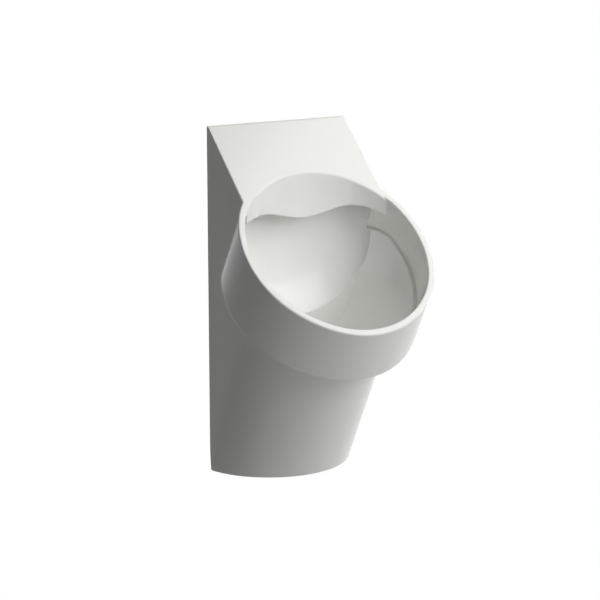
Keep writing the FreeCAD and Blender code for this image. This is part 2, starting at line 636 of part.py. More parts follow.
def outlet_nut():
    """The union nut of the outlet, with grip ribs round it."""
    back = SPIGOT_END + 2.5 + 3.0
    start, end = SPIGOT_END - 12.0, back + 2.5
    length = end - start
    outer = NUT_RADIUS
    nut = revolve([(0, 0), (outer - 1, 0), (outer, 1), (outer, length - 2), (outer - 2, length), (0, length)])
    for turn in range(16):
        rib = block(outer - 1, outer + 2.0, -1.6, 1.6, 1.5, length - 3)
        rib.rotate(vec(0, 0, 0), Z, 22.5 * turn)
        nut = nut.fuse(rib)
    nut = nut.cut(rod(SPIGOT_RADIUS, vec(0, 0, -1), Z, 14))
    nut = nut.cut(rod(SPIGOT_RADIUS + 4, vec(0, 0, 12.0), Z, 5.5))
    nut = nut.cut(rod(OUTLET_RADIUS, vec(0, 0, 10), Z, 30))
    return placed(nut, vec(0, start, OUTLET_Z), Y)


# ---- water supply and flush valve ---------------------------------------------------------
def flush_nozzle():
    """A brass spreader behind the shield, on a threaded tail through the ceramic."""
    face = BOSS_FRONT_Y - SEAL
    tail_end = -4.0
    body = revolve([(0, 0), (NOZZLE_HEAD - 4, 0), (NOZZLE_HEAD - 1, 2), (NOZZLE_HEAD, 6), (NOZZLE_HEAD, 9),
                    (NOZZLE_FLANGE - 1, 9), (NOZZLE_FLANGE, 10), (NOZZLE_FLANGE, 12), (NOZZLE_TAIL, 12),
                    (NOZZLE_TAIL, 12 + tail_end - face - 1), (NOZZLE_TAIL - 1, 12 + tail_end - face),
                    (0, 12 + tail_end - face)])
    bore = rod(7.0, vec(0, 0, 3), Z, 12 + tail_end - face - 6)
    body = body.cut(bore)
    for angle in (-60, -30, 0, 30, 60):
        slot = block(-1.75, 1.75, -NOZZLE_HEAD - 2, 0, 3.5, 6.5)
        slot.rotate(vec(0, 0, 0), Z, angle + 180)
        body = body.cut(slot)
    body = placed(body, vec(0, face - 12, BOSS_Z), Y)
    return body.cut(rod(5.0, vec(0, ELBOW_Y, BOSS_Z), X, NOZZLE_TAIL + 2))


def nozzle_gasket():
    return sleeve(NOZZLE_FLANGE, INLET_HOLE + 0.5, vec(0, BOSS_FRONT_Y - SEAL, BOSS_Z), Y, SEAL)


def nozzle_washer():
    return sleeve(21.0, NOZZLE_TAIL, vec(0, BOSS_BACK_Y, BOSS_Z), Y, SEAL)


def nozzle_nut():
    return hexagon(34.0, vec(0, BOSS_BACK_Y + SEAL, BOSS_Z), Y, 7.0, NOZZLE_TAIL)


def riser_fitting():
    """The threaded fitting that joins the riser to the nozzle's side."""
    body = hexagon(16.0, vec(NOZZLE_TAIL + 0.5, ELBOW_Y, BOSS_Z), X, 12.0)
    body = body.fuse(rod(5.0, vec(6.5, ELBOW_Y, BOSS_Z), X, 8.0))
    body = body.cut(rod(PIPE_RADIUS, vec(NOZZLE_TAIL + 5.5, ELBOW_Y, BOSS_Z), X, 12.0))
    return body.cut(rod(3.5, vec(0, ELBOW_Y, BOSS_Z), X, 30))


def riser_pipe():
    """The bent copper riser from the flush valve to the nozzle."""
    points = [vec(NOZZLE_TAIL + 5.5, ELBOW_Y, BOSS_Z), vec(SUPPLY_X, ELBOW_Y, BOSS_Z),
              vec(SUPPLY_X, ELBOW_Y, 462.0), vec(SUPPLY_X, SUPPLY_Y, 430.0),
              vec(SUPPLY_X, SUPPLY_Y, VALVE_Z + 26)]
    pipe = tube(points, PIPE_BEND, PIPE_RADIUS)
    return pipe.cut(tube(points, PIPE_BEND, PIPE_RADIUS - 1.0))


def compression_nuts():
    """Three alike nuts that clamp the pipes to the stop valve and to the flush valve."""
    heights = (STOP_Z + 24, VALVE_Z - 31, VALVE_Z + 18)
    nuts = []
    for z in heights:
        down = z == heights[1]
        nut = hexagon(22.0, vec(SUPPLY_X, SUPPLY_Y, z), Z, 13.0, PIPE_RADIUS)
        socket = rod(THREAD, vec(SUPPLY_X, SUPPLY_Y, z + 5 if down else z), Z, 8.0)
        nuts.append(nut.cut(socket))
    return Part.makeCompound(nuts)


def supply_tail():
    z0, z1 = STOP_Z + 32, VALVE_Z - 26
    return sleeve(PIPE_RADIUS, PIPE_RADIUS - 1, vec(SUPPLY_X, SUPPLY_Y, z0), Z, z1 - z0)


def valve_body():
    """The brass body of the flush valve: in line with the riser, with a port for its core."""
    centre = vec(SUPPLY_X, SUPPLY_Y, VALVE_Z)
    body = revolve([(0, -26), (THREAD, -26), (THREAD, -18), (VALVE_RADIUS - 1, -18), (VALVE_RADIUS, -17),
                    (VALVE_RADIUS, 17), (VALVE_RADIUS - 1, 18), (THREAD, 18), (THREAD, 26), (0, 26)])
    body.translate(centre)
    body = body.fuse(hexagon(24.0, vec(SUPPLY_X, SUPPLY_Y - 10, VALVE_Z), -Y, CORE_START - 10))
    waterway = rod(5.0, vec(SUPPLY_X, SUPPLY_Y, VALVE_Z - 30), Z, 60)
    chamber = rod(CORE_BORE, vec(SUPPLY_X, SUPPLY_Y, VALVE_Z), -Y, CORE_START + 2)
    return body.cut(waterway).cut(chamber)


def valve_core_tube():
    start = SUPPLY_Y - CORE_START
    body = rod(CORE_RADIUS, vec(SUPPLY_X, start, VALVE_Z), -Y, CORE_LENGTH)
    return body.cut(rod(CORE_BORE, vec(SUPPLY_X, start + 1, VALVE_Z), -Y, CORE_LENGTH - 2))


def valve_coil():
    """The wound coil in its moulded housing, with the connector block on its side."""
    start = SUPPLY_Y - CORE_START - 1
    coil = rod(COIL_RADIUS, vec(SUPPLY_X, start, VALVE_Z), -Y, COIL_LENGTH)
    ends = [e for e in coil.Edges if isinstance(e.Curve, Part.Circle)]
    coil = coil.makeFillet(1.5, ends)
    plug = block(SUPPLY_X - 8, SUPPLY_X + 8, start - COIL_LENGTH + 6, start - 6, VALVE_Z, VALVE_Z + 24)
    return coil.fuse(plug).cut(rod(CORE_RADIUS, vec(SUPPLY_X, start + 1, VALVE_Z), -Y, COIL_LENGTH + 2))


def coil_nut():
    start = SUPPLY_Y - CORE_START - 1 - COIL_LENGTH
    return hexagon(14.0, vec(SUPPLY_X, start, VALVE_Z), -Y, 4.5, CORE_RADIUS)


def valve_plunger():
    """The steel plunger, with a soft seat on its end and a socket for the spring."""
    start = vec(SUPPLY_X, SUPPLY_Y - 7.5, VALVE_Z)
    body = revolve([(0, 0), (PLUNGER_RADIUS - 1.5, 0), (PLUNGER_RADIUS, 1.5), (PLUNGER_RADIUS, PLUNGER_LENGTH),
                    (0, PLUNGER_LENGTH)])
    return placed(body, start, -Y)


def plunger_spring():
    """The closing spring between the plunger and the end of the core tube, as the sleeve it fills."""
    start = SUPPLY_Y - 7.5 - PLUNGER_LENGTH
    end = SUPPLY_Y - CORE_START - CORE_LENGTH + 3.0
    return sleeve(SPRING_RADIUS, SPRING_RADIUS - SPRING_WIRE, vec(SUPPLY_X, start, VALVE_Z), -Y, start - end)


def stop_valve_body():
    """The angle stop valve: its inlet thread points into the wall, its outlet upwards."""
    body = revolve([(0, 0), (INLET_THREAD - 1, 0), (INLET_THREAD, 1), (INLET_THREAD, INLET_LENGTH),
                    (STOP_RADIUS - 1, INLET_LENGTH), (STOP_RADIUS, INLET_LENGTH + 1),
                    (STOP_RADIUS, STOP_LENGTH - 3), (STOP_RADIUS - 3, STOP_LENGTH), (0, STOP_LENGTH)])
    body = placed(body, vec(SUPPLY_X, 0, STOP_Z), -Y)
    body = body.fuse(rod(THREAD, vec(SUPPLY_X, SUPPLY_Y, STOP_Z), Z, 32))
    body = body.cut(rod(7.0, vec(SUPPLY_X, 1, STOP_Z), -Y, STOP_LENGTH - 8))
    body = body.cut(rod(5.0, vec(SUPPLY_X, SUPPLY_Y, STOP_Z), Z, 40))
    return body.cut(rod(SPINDLE + 0.3, vec(SUPPLY_X, -20, STOP_Z), -Y, STOP_LENGTH))


def stop_gland_nut():
    return hexagon(17.0, vec(SUPPLY_X, -STOP_LENGTH, STOP_Z), -Y, 5.0, SPINDLE + 0.3)


def stop_spindle():
    """The stop valve's spindle, turned with a screwdriver in its slot."""
    length = STOP_LENGTH - 32.0 + 11.0
    body = revolve([(0, 0), (SPINDLE, 0), (SPINDLE, length - 5), (SPINDLE + 2, length - 5),
                    (SPINDLE + 2, length - 1), (SPINDLE + 1, length), (0, length)])
    body = body.cut(block(-10, 10, -0.9, 0.9, length - 2.5, length + 1))
    return placed(body, vec(SUPPLY_X, -32.0, STOP_Z), -Y)


def box_span():
    x0 = -BODY_WIDTH / 2 + WALL + BOX_PAD
    return x0, x0 + BOX_SIZE[0], -8.0 - BOX_SIZE[1], -8.0, BOX_Z, BOX_Z + BOX_SIZE[2]


def rounded_block(span, radius, direction=1):
    shape = block(*span)
    edges = [e for e in shape.Edges
             if abs([e.Vertexes[1].X - e.Vertexes[0].X, e.Vertexes[1].Y - e.Vertexes[0].Y,
                     e.Vertexes[1].Z - e.Vertexes[0].Z][direction]) > 0.1]
    return shape.makeFillet(radius, edges)


def screw_places():
    x0, x1, y0, y1, z0, z1 = box_span()
    return [(x, z) for x in (x0 + 6, x1 - 6) for z in (z0 + 6, z1 - 6)]


def control_box():
    """The tray of the flush control, open to the front, with a screw post in each corner."""
    x0, x1, y0, y1, z0, z1 = box_span()
    front = y0 + BOX_LID
    tray = rounded_block((x0, x1, front, y1, z0, z1), 4.0)
    inside = rounded_block((x0 + 2.5, x1 - 2.5, front - 1, y1 - 2.5, z0 + 2.5, z1 - 2.5), 2.0)
    tray = tray.cut(inside)
    for x, z in screw_places():
        tray = tray.fuse(rod(3.8, vec(x, front, z), Y, y1 - front - 1))
    for x, z in screw_places():
        tray = tray.cut(rod(1.4, vec(x, front, z), Y, 12))
    return tray


def control_lid():
    x0, x1, y0, y1, z0, z1 = box_span()
    lid = rounded_block((x0, x1, y0, y0 + BOX_LID, z0, z1), 4.0)
    rim = [e for e in lid.Edges if e.BoundBox.YMax < y0 + 0.01]
    lid = lid.makeFillet(1.0, rim)
    for x, z in screw_places():
        lid = lid.cut(rod(1.7, vec(x, y0 - 1, z), Y, 8))
        lid = lid.cut(Part.makeCone(3.0, 1.5, 1.5, vec(x, y0, z), Y))
    return lid


def lid_screws():
    x0, x1, y0, y1, z0, z1 = box_span()
    screws = []
    for x, z in screw_places():
        screw = revolve([(0, 0), (2.8, 0), (1.4, 1.4), (1.4, 12.5), (0.6, 14), (0, 14)])
        for angle in (0, 90):
            cross = block(-2.0, 2.0, -0.4, 0.4, -1, 0.8)
            cross.rotate(vec(0, 0, 0), Z, angle)
            screw = screw.cut(cross)
        screws.append(placed(screw, vec(x, y0, z), Y))
    return Part.makeCompound(screws)


def battery_pack():
    x0, x1, y0, y1, z0, z1 = box_span()
    cells = []
    for x in (x0 + 15.5, x0 + 30.5):
        can = revolve([(0, 0), (6.5, 0), (7.0, 0.6), (7.0, 49.0), (6.3, 50.0), (2.6, 50.0), (2.4, 51.4),
                       (0, 51.4)])
        cells.append(placed(can, vec(x, y1 - 2.5 - 7.0, z0 + 16), Z))
    return Part.makeCompound(cells)


def box_pad():
    x0, x1, y0, y1, z0, z1 = box_span()
    return block(x0 - BOX_PAD, x0, y1 - 24, y1 - 4, z0 + 10, z1 - 10)


NODES = [
    ("ceramic_body", ceramic_body),
    ("hanging_brackets", lambda: Part.makeCompound([hanging_bracket(-1), hanging_bracket(1)])),
    ("bracket_liners", lambda: Part.makeCompound([bracket_liner(-1), bracket_liner(1)])),
    ("seat_seal", seat_seal), ("drain_flange", drain_flange), ("collar_gasket", collar_gasket),
    ("trap_cup", trap_cup), ("trap_insert", trap_insert), ("insert_oring", insert_oring),
    ("drain_strainer", drain_strainer), ("trap_sensor", trap_sensor),
    ("outlet_gasket", outlet_gasket), ("outlet_nut", outlet_nut), ("outlet_pipe", outlet_pipe),
    ("flush_nozzle", flush_nozzle), ("nozzle_gasket", nozzle_gasket), ("nozzle_washer", nozzle_washer),
    ("nozzle_nut", nozzle_nut), ("riser_fitting", riser_fitting), ("riser_pipe", riser_pipe),
    ("compression_nuts", compression_nuts), ("supply_tail", supply_tail), ("valve_body", valve_body),
    ("valve_core_tube", valve_core_tube), ("valve_coil", valve_coil), ("coil_nut", coil_nut),
    ("valve_plunger", valve_plunger), ("plunger_spring", plunger_spring),
    ("stop_valve_body", stop_valve_body), ("stop_gland_nut", stop_gland_nut),
    ("stop_spindle", stop_spindle), ("control_box", control_box), ("control_lid", control_lid),
    ("lid_screws", lid_screws), ("battery_pack", battery_pack), ("box_pad", box_pad),
]


def main():
    os.makedirs("parts", exist_ok=True)
    for name, make in NODES:
        shape = make()
        shape.exportStep("parts/" + name + ".step")
        box = shape.optimalBoundingBox()
        print("%-18s valid %s solids %d faces %d volume %.0f  x %.1f %.1f  y %.1f %.1f  z %.1f %.1f" % (
            name, shape.isValid(), len(shape.Solids), len(shape.Faces), shape.Volume,
            box.XMin, box.XMax, box.YMin, box.YMax, box.ZMin, box.ZMax))


if __name__ == "__main__":
    main()
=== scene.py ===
import math

import bmesh
import bpy
from bpy.props import FloatProperty, FloatVectorProperty, PointerProperty
from mathutils import Matrix, Vector


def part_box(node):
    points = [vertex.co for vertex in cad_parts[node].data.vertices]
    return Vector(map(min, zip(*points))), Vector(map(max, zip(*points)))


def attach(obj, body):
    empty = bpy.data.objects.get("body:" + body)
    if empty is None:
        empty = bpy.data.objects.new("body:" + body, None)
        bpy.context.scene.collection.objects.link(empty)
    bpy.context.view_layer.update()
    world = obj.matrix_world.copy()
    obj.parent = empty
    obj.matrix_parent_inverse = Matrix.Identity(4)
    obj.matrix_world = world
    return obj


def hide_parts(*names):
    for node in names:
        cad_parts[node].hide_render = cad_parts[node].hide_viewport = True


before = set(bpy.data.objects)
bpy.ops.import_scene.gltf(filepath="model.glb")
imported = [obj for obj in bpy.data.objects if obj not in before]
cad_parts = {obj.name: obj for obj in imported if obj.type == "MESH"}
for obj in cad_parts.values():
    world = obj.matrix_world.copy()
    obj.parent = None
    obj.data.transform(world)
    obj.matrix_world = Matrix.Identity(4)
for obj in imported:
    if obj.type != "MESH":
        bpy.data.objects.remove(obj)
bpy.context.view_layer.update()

bl_info = {
    "name": "Wall hung urinal",
    "version": (1, 0, 0),
    "blender": (4, 5, 0),
    "location": "View3D > Sidebar > Urinal",
    "description": "Glazes the ceramic, finishes the fittings behind it and sets the studio",
    "category": "Object",
}


# ---- sizes and colours a user would change -------------------------------------------------
class GlazeSettings(bpy.types.PropertyGroup):
    colour: FloatVectorProperty(
        name="Glaze colour", description="White of the glaze", subtype="COLOR", size=3,
        min=0, max=1, default=(0.9, 0.9, 0.875))
    bisque: FloatVectorProperty(
        name="Bisque colour", description="Bare fired clay where the body meets the wall",
        subtype="COLOR", size=3, min=0, max=1, default=(0.78, 0.73, 0.64))
    gloss: FloatProperty(
        name="Glaze roughness", description="Roughness of the fired glaze", default=0.16,
        min=0, max=1)
    peel: FloatProperty(
        name="Glaze ripple", description="Height of the faint ripple in the glaze",
        default=0.00006, min=0, unit="LENGTH")
    ripple_size: FloatProperty(
        name="Ripple size", description="Distance between ripples", default=0.02, min=0.001,
        unit="LENGTH")
    rim_round: FloatProperty(
        name="Rim rounding", description="Rounding of the rim and of the sloping face's edges",
        default=0.003, min=0, unit="LENGTH")
    foot_round: FloatProperty(
        name="Foot rounding", description="Rounding of the lower edges of hoop and skirt",
        default=0.003, min=0, unit="LENGTH")
    wave_round: FloatProperty(
        name="Wave rounding", description="Rounding of the shield's wave shaped edge",
        default=0.0022, min=0, unit="LENGTH")


class FittingSettings(bpy.types.PropertyGroup):
    brass: FloatVectorProperty(
        name="Brass", description="Bare brass of valves and nuts", subtype="COLOR", size=3,
        min=0, max=1, default=(0.72, 0.53, 0.25))
    copper: FloatVectorProperty(
        name="Copper", description="Drawn copper of the riser", subtype="COLOR", size=3,
        min=0, max=1, default=(0.78, 0.42, 0.27))
    steel: FloatVectorProperty(
        name="Zinc", description="Zinc plate on the brackets", subtype="COLOR", size=3,
        min=0, max=1, default=(0.62, 0.64, 0.67))
    white: FloatVectorProperty(
        name="White plastic", description="Trap and outlet", subtype="COLOR", size=3,
        min=0, max=1, default=(0.78, 0.78, 0.76))
    grey: FloatVectorProperty(
        name="Grey plastic", description="Control box and bracket liners", subtype="COLOR",
        size=3, min=0, max=1, default=(0.33, 0.34, 0.35))


class StageSettings(bpy.types.PropertyGroup):
    floor: FloatProperty(
        name="Floor", description="Height of the floor under the urinal", default=-1.6,
        unit="LENGTH")
    key: FloatProperty(
        name="Key light", description="Power of the softbox to the right and above",
        default=44.0, min=0, unit="POWER")
    front: FloatProperty(
        name="Front light", description="Power of the softbox in front, level with the bowl",
        default=15.0, min=0, unit="POWER")
    top: FloatProperty(
        name="Top light", description="Power of the softbox above the bowl",
        default=8.0, min=0, unit="POWER")
    rear: FloatProperty(
        name="Rear light", description="Power of the softbox behind, for the fittings",
        default=24.0, min=0, unit="POWER")
    fill: FloatProperty(
        name="Fill", description="Strength of the even light from all round", default=0.015,
        min=0)
    azimuth: FloatProperty(
        name="Camera azimuth", description="Angle of the camera to the left of the front",
        default=math.radians(34.769), subtype="ANGLE")
    distance: FloatProperty(
        name="Camera distance", description="From the camera to the point it looks at",
        default=3.45107, unit="LENGTH")
    lens: FloatProperty(
        name="Lens", description="Focal length", default=110.163, unit="CAMERA")


# ---- shader maths ---------------------------------------------------------------------------
MIX_FACTOR, MIX_FIRST, MIX_SECOND, MIX_RESULT = 0, 6, 7, 2      # a colour Mix node's sockets


class Socket:
    """A node's output, on which arithmetic adds Math nodes."""

    def __init__(self, owner, link):
        self.owner, self.link = owner, link

    def _with(self, operation, other):
        return self.owner.node("ShaderNodeMath", {"operation": operation},
                               {0: self, 1: other}).out()

    def __add__(self, other):
        return self._with("ADD", other)

    __radd__ = __add__

    def __mul__(self, other):
        return self._with("MULTIPLY", other)

    __rmul__ = __mul__

    def __sub__(self, other):
        return self._with("SUBTRACT", other)

    def __rsub__(self, other):
        return self.owner.node("ShaderNodeMath", {"operation": "SUBTRACT"},
                               {0: other, 1: self}).out()

    def __gt__(self, other):
        return self._with("GREATER_THAN", other)

    def either(self, other):
        """The larger of two masks."""
        return self._with("MAXIMUM", other)

    def between(self, low, high):
        """0 at low, 1 at high, held outside them."""
        return self.owner.node("ShaderNodeMapRange", {"clamp": True},
                               {"Value": self, "From Min": low, "From Max": high}).out()


class Placed:
    """A node that stands in a tree."""

    def __init__(self, owner, made):
        self.owner, self.made = owner, made

    def out(self, name=0):
        return Socket(self.owner, self.made.outputs[name])


class Tree:
    """A node tree of a material or the world."""

    def __init__(self, holder):
        holder.use_nodes = True
        self.tree = holder.node_tree

    def node(self, kind, settings=None, inputs=None):
        """Add a node: its settings first, then the values or links of its sockets."""
        made = self.tree.nodes.new(kind)
        for name, value in (settings or {}).items():
            setattr(made, name, value)
        for name, value in (inputs or {}).items():
            self.fill(made.inputs[name], value)
        return Placed(self, made)

    def fill(self, socket, value):
        """Link a socket, or set it; a colour of three values is made opaque."""
        if isinstance(value, Socket):
            self.tree.links.new(value.link, socket)
        elif hasattr(value, "__len__") and len(value) == 3 and len(socket.default_value) == 4:
            socket.default_value = tuple(value) + (1.0,)
        else:
            socket.default_value = value

    def ready(self, name):
        """A node that the tree holds from the start."""
        return self.tree.nodes[name]


class Paint(Tree):
    """One procedural material on the metallic and gloss shader."""

    def __init__(self, name, **fixed):
        self.material = bpy.data.materials.new(name)
        super().__init__(self.material)
        self.shader = self.ready("Principled BSDF")
        for socket, value in fixed.items():
            self.shader.inputs[socket].default_value = value
        self.spot = self.node("ShaderNodeTexCoord").out("Object")

    def noise(self, scale, detail=3.0, rough=0.5, stretch=None):
        """Soft noise, scale spots to the metre; stretch squeezes it along each axis."""
        spot = self.spot
        if stretch:
            spot = self.node("ShaderNodeMapping", None, {"Vector": spot, "Scale": stretch}).out()
        return self.node("ShaderNodeTexNoise", None, {
            "Vector": spot, "Scale": scale, "Detail": detail, "Roughness": rough}).out("Fac")

    def axis(self, which):
        return self.node("ShaderNodeSeparateXYZ", None, {0: self.spot}).out(which)

    def mix(self, mask, first, second):
        """The first colour where the mask is 0, the second where it is 1."""
        return self.node("ShaderNodeMix", {"data_type": "RGBA"}, {
            MIX_FACTOR: mask, MIX_FIRST: first, MIX_SECOND: second}).out(MIX_RESULT)

    def bump(self, height, distance):
        """Raise the surface by distance, in metres, where height is 1."""
        self.set("Normal", self.node("ShaderNodeBump", None, {
            "Height": height, "Distance": distance}).out())

    def set(self, socket, value):
        self.fill(self.shader.inputs[socket], value)


def scaled(colour, factor):
    """The colour, lighter or darker, and never past white."""
    return tuple(min(1.0, c * factor) for c in colour)


# ---- finishes -------------------------------------------------------------------------------
GLAZE_IOR = 1.52
GLAZE_ENDS = (-0.0016, -0.0004)     # Y at which the glaze begins to thin, and is gone
LATHE_STRETCH = {"Y": (1.0, 70.0, 1.0), "Z": (1.0, 1.0, 70.0)}
DRAWN_STRETCH = (1.0, 1.0, 0.06)    # streaks that run up and down
FLOW_STRETCH = (1.0, 1.0, 0.35)
CRINKLE_STRETCH = (1.0, 1.0, 0.2)
FIBRE_STRETCH = (1.0, 0.3, 1.0)
BAND_FOOT = 0.2035                  # height at which the cells' bright band begins

BRASS_FILM = (0.33, 0.2, 0.09)
COPPER_FILM = (0.28, 0.13, 0.08)
STAINLESS = (0.66, 0.66, 0.65)
STAINLESS_FILM = (0.5, 0.49, 0.47)
BLACK_PLASTIC = (0.03, 0.03, 0.033)
RUBBER_BLACK, RUBBER_BLOOM = (0.018, 0.018, 0.019), (0.075, 0.075, 0.08)
FIBRE_DARK, FIBRE_LIGHT = (0.27, 0.07, 0.04), (0.48, 0.2, 0.12)
CHROME_CLEAN, CHROME_MARKED = (0.8, 0.81, 0.82), (0.68, 0.69, 0.69)
SLEEVE_DARK, SLEEVE_LIGHT = (0.02, 0.022, 0.03), (0.05, 0.05, 0.06)
COPPER_BAND = (0.55, 0.27, 0.13)


def glaze(settings):
    """White fired glaze: a faint ripple, slight pooling, and bare grainy clay at the wall."""
    paint = Paint("white_glaze", IOR=GLAZE_IOR)
    bare = paint.axis("Y").between(*GLAZE_ENDS)
    cloud = paint.noise(3.0, detail=2.0)
    ripple = paint.noise(1.0 / settings.ripple_size, detail=2.0)
    grain = paint.noise(900.0, detail=2.0)
    base = paint.mix(cloud.between(0.35, 0.65), scaled(settings.colour, 0.985),
                     scaled(settings.colour, 1.01))
    clay = paint.mix(grain.between(0.3, 0.7), scaled(settings.bisque, 0.9), settings.bisque)
    paint.set("Base Color", paint.mix(bare, base, clay))
    paint.set("Roughness", settings.gloss + bare * 0.7 + cloud.between(0.3, 0.7) * 0.02)
    paint.bump(ripple + bare * grain * 2.0, settings.peel)
    return paint.material


def zinc(settings):
    """Zinc plate: soft spangle, rolling streaks and a dull film."""
    paint = Paint("zinc_steel", Metallic=1.0)
    cells = paint.node("ShaderNodeTexVoronoi", None,
                       {"Vector": paint.spot, "Scale": 260.0}).out("Color")
    flake = paint.node("ShaderNodeSeparateColor", None, {0: cells}).out("Red")
    streak = paint.noise(90.0, detail=4.0, rough=0.6, stretch=DRAWN_STRETCH)
    paint.set("Base Color", paint.mix(flake * 0.5 + streak * 0.5, scaled(settings.steel, 0.82),
                                      scaled(settings.steel, 1.08)))
    paint.set("Roughness", 0.3 + flake * 0.14 + streak * 0.12)
    paint.bump(streak, 0.00003)
    return paint.material


def turned_metal(name, colour, roughness, tarnish, ring_axis="Y"):
    """Metal from a lathe: fine rings, and a dull film in patches."""
    paint = Paint(name, Metallic=1.0)
    rings = paint.noise(14.0, detail=2.0, stretch=LATHE_STRETCH[ring_axis])
    film = paint.noise(45.0, detail=5.0, rough=0.62).between(0.48, 0.72)
    clean = paint.mix(rings, scaled(colour, 0.92), scaled(colour, 1.06))
    paint.set("Base Color", paint.mix(film * 0.8, clean, tarnish))
    paint.set("Roughness", roughness + film * 0.22 + rings * 0.08)
    paint.bump(rings, 0.00002)
    return paint.material


def moulded(name, colour, roughness):
    """Moulded plastic: a fine even grain, slight flow marks and handling sheen."""
    paint = Paint(name)
    flow = paint.noise(9.0, rough=0.55, stretch=FLOW_STRETCH)
    grain = paint.noise(1500.0, detail=2.0)
    rub = paint.noise(38.0, detail=4.0, rough=0.6)
    paint.set("Base Color", paint.mix(flow, scaled(colour, 0.94), scaled(colour, 1.04)))
    paint.set("Roughness", roughness - 0.06 + rub.between(0.35, 0.7) * 0.12)
    paint.bump(grain, 0.00004)
    return paint.material


def rubber():
    """Black rubber with a pale bloom and a matt grain."""
    paint = Paint("black_rubber")
    bloom = paint.noise(60.0, detail=5.0, rough=0.6)
    paint.set("Base Color", paint.mix(bloom.between(0.4, 0.75), RUBBER_BLACK, RUBBER_BLOOM))
    paint.set("Roughness", 0.62 + bloom * 0.2)
    paint.bump(paint.noise(1100.0, detail=2.0), 0.00005)
    return paint.material


def fibre():
    """Pressed red fibre with flecks."""
    paint = Paint("fibre_washer", Roughness=0.8)
    fleck = paint.noise(420.0, detail=4.0, rough=0.7, stretch=FIBRE_STRETCH)
    paint.set("Base Color", paint.mix(fleck.between(0.4, 0.65), FIBRE_DARK, FIBRE_LIGHT))
    paint.bump(fleck, 0.00008)
    return paint.material


def chrome():
    """Polished chrome with faint water marks."""
    paint = Paint("chrome_fittings", Metallic=1.0)
    marks = paint.noise(85.0, detail=5.0, rough=0.6)
    paint.set("Base Color", paint.mix(marks.between(0.5, 0.75), CHROME_CLEAN, CHROME_MARKED))
    paint.set("Roughness", 0.07 + marks.between(0.5, 0.78) * 0.16)
    paint.bump(paint.noise(240.0, detail=2.0), 0.00001)
    return paint.material


def battery_film():
    """A plain shrunk sleeve: dark and crinkled, with a copper coloured band at the top."""
    paint = Paint("battery_foil")
    band = paint.axis("Z") > BAND_FOOT
    crinkle = paint.noise(160.0, stretch=CRINKLE_STRETCH)
    sleeve = paint.mix(crinkle, SLEEVE_DARK, SLEEVE_LIGHT)
    paint.set("Base Color", paint.mix(band, sleeve, COPPER_BAND))
    paint.set("Roughness", 0.3 + crinkle * 0.12)
    paint.bump(crinkle, 0.0001)
    return paint.material


def finish_nodes(material, names):
    """Give a finish to CAD nodes that keep their own shape."""
    for name in names:
        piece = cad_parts[name]
        piece.data.materials.clear()
        piece.data.materials.append(material)


# ---- the ceramic's shape --------------------------------------------------------------------
BODY_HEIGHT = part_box("ceramic_body")[1][2]
TOP_EDGE = 0.003                                # depth of the level strip along the top
FACE_SLOPE = math.tan(math.radians(47.0))
HOOP_FOOT = 0.456                               # where the plane under the hoop meets the wall
HOOP_FOOT_SLOPE = math.tan(math.radians(42.2))
HOOP_FOOT_BACK = -0.04                          # the hoop's foot lies in front of this Y
OPENING_REACH = 0.1                             # the service opening is nearer the origin
WALL_EDGE = -0.001                              # an edge behind this Y lies on the wall
WAVE_LOW, WAVE_HIGH = (-0.125, -0.16, 0.463), (0.151, -0.02, 0.4905)
WAVE_FACES_DOWN, WAVE_FACES_OUT = -0.7, 0.2     # upward part of the normals at its edge
SHIELD_END_X, SHIELD_FACE_Y = -0.12, -0.1124    # where the shield's face steps forward
BOWL_WALL_Y = -0.1082                           # the bowl wall beside it

ON_PLANE = 0.0005
SAME_POINT = 1e-6
FLAT_UNDER = math.radians(0.3)
CORNER_OVER = math.radians(25)
SMOOTH_UNDER = math.radians(32)
MERGED_SHARE = 0.6          # points on a rounded edge nearer than this share of its radius merge
RIM_SEGMENTS, FOOT_SEGMENTS, WAVE_SEGMENTS = 4, 3, 3


def in_face(vertex):
    """Whether a vertex lies in the plane of the sloping face and the rim."""
    face_height = BODY_HEIGHT + (vertex.co.y + TOP_EDGE) * FACE_SLOPE
    return abs(vertex.co.z - face_height) < ON_PLANE


def in_sloping_face(edge):
    return all(in_face(v) for v in edge.verts)


def under_hoop_or_skirt(edge):
    hoop = all(abs(v.co.z - HOOP_FOOT - v.co.y * HOOP_FOOT_SLOPE) < ON_PLANE
               and v.co.y < HOOP_FOOT_BACK for v in edge.verts)
    skirt = all(v.co.z < ON_PLANE and math.hypot(v.co.x, v.co.y) > OPENING_REACH
                for v in edge.verts)
    middle_y = (edge.verts[0].co.y + edge.verts[1].co.y) / 2
    return hoop or (skirt and middle_y < WALL_EDGE)


def along_wave(edge):
    inside = all(low < value < high for v in edge.verts
                 for low, value, high in zip(WAVE_LOW, v.co, WAVE_HIGH))
    down = min(face.normal.z for face in edge.link_faces) < WAVE_FACES_DOWN
    upright = min(abs(face.normal.z) for face in edge.link_faces) < WAVE_FACES_OUT
    return inside and down and upright


def at_shield_end(shape, y):
    """The vertices on the upright line at the end of the shield's face, at depth y."""
    return [v for v in shape.verts
            if abs(v.co.x - SHIELD_END_X) < ON_PLANE and abs(v.co.y - y) < ON_PLANE]


def fair_shield_end(shape):
    """Draw the closed end of the shield's face back, so that it runs into the bowl wall."""
    moved = at_shield_end(shape, SHIELD_FACE_Y)
    if not moved:
        raise RuntimeError("the shield's closed end isn't where the glaze expects it")
    for v in moved:
        if in_face(v):
            v.co.z += (BOWL_WALL_Y - v.co.y) * FACE_SLOPE
        v.co.y = BOWL_WALL_Y
    bmesh.ops.remove_doubles(shape, verts=at_shield_end(shape, BOWL_WALL_Y), dist=ON_PLANE)


